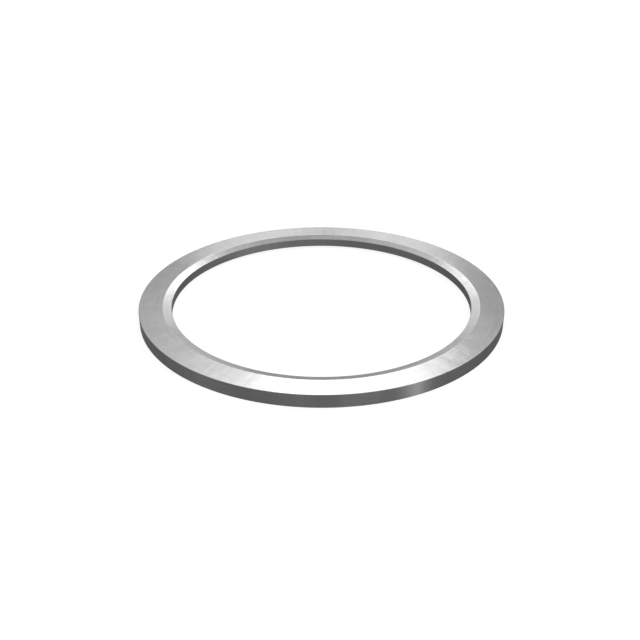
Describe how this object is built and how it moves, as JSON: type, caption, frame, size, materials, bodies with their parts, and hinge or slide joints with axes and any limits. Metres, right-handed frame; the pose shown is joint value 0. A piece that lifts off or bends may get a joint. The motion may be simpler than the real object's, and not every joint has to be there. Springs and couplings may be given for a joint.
{
  "type": "flat metal ring gasket",
  "caption": "Flat turned steel ring gasket with wide sealing faces and a shallow bevel down to the bore on both sides.",
  "frame": {"origin": "centre of the ring on its lower sealing face", "axes": "+Z along the ring's axis, from the lower sealing face to the upper; X and Y lie in the sealing face, and any direction around the axis is like any other"},
  "size_m": [0.085, 0.085, 0.003],
  "materials": {
    "turned_steel": "satin, with fine concentric turning marks"
  },
  "bodies": {
    "root": {"gasket_ring": "turned_steel"}
  },
  "joints": []
}
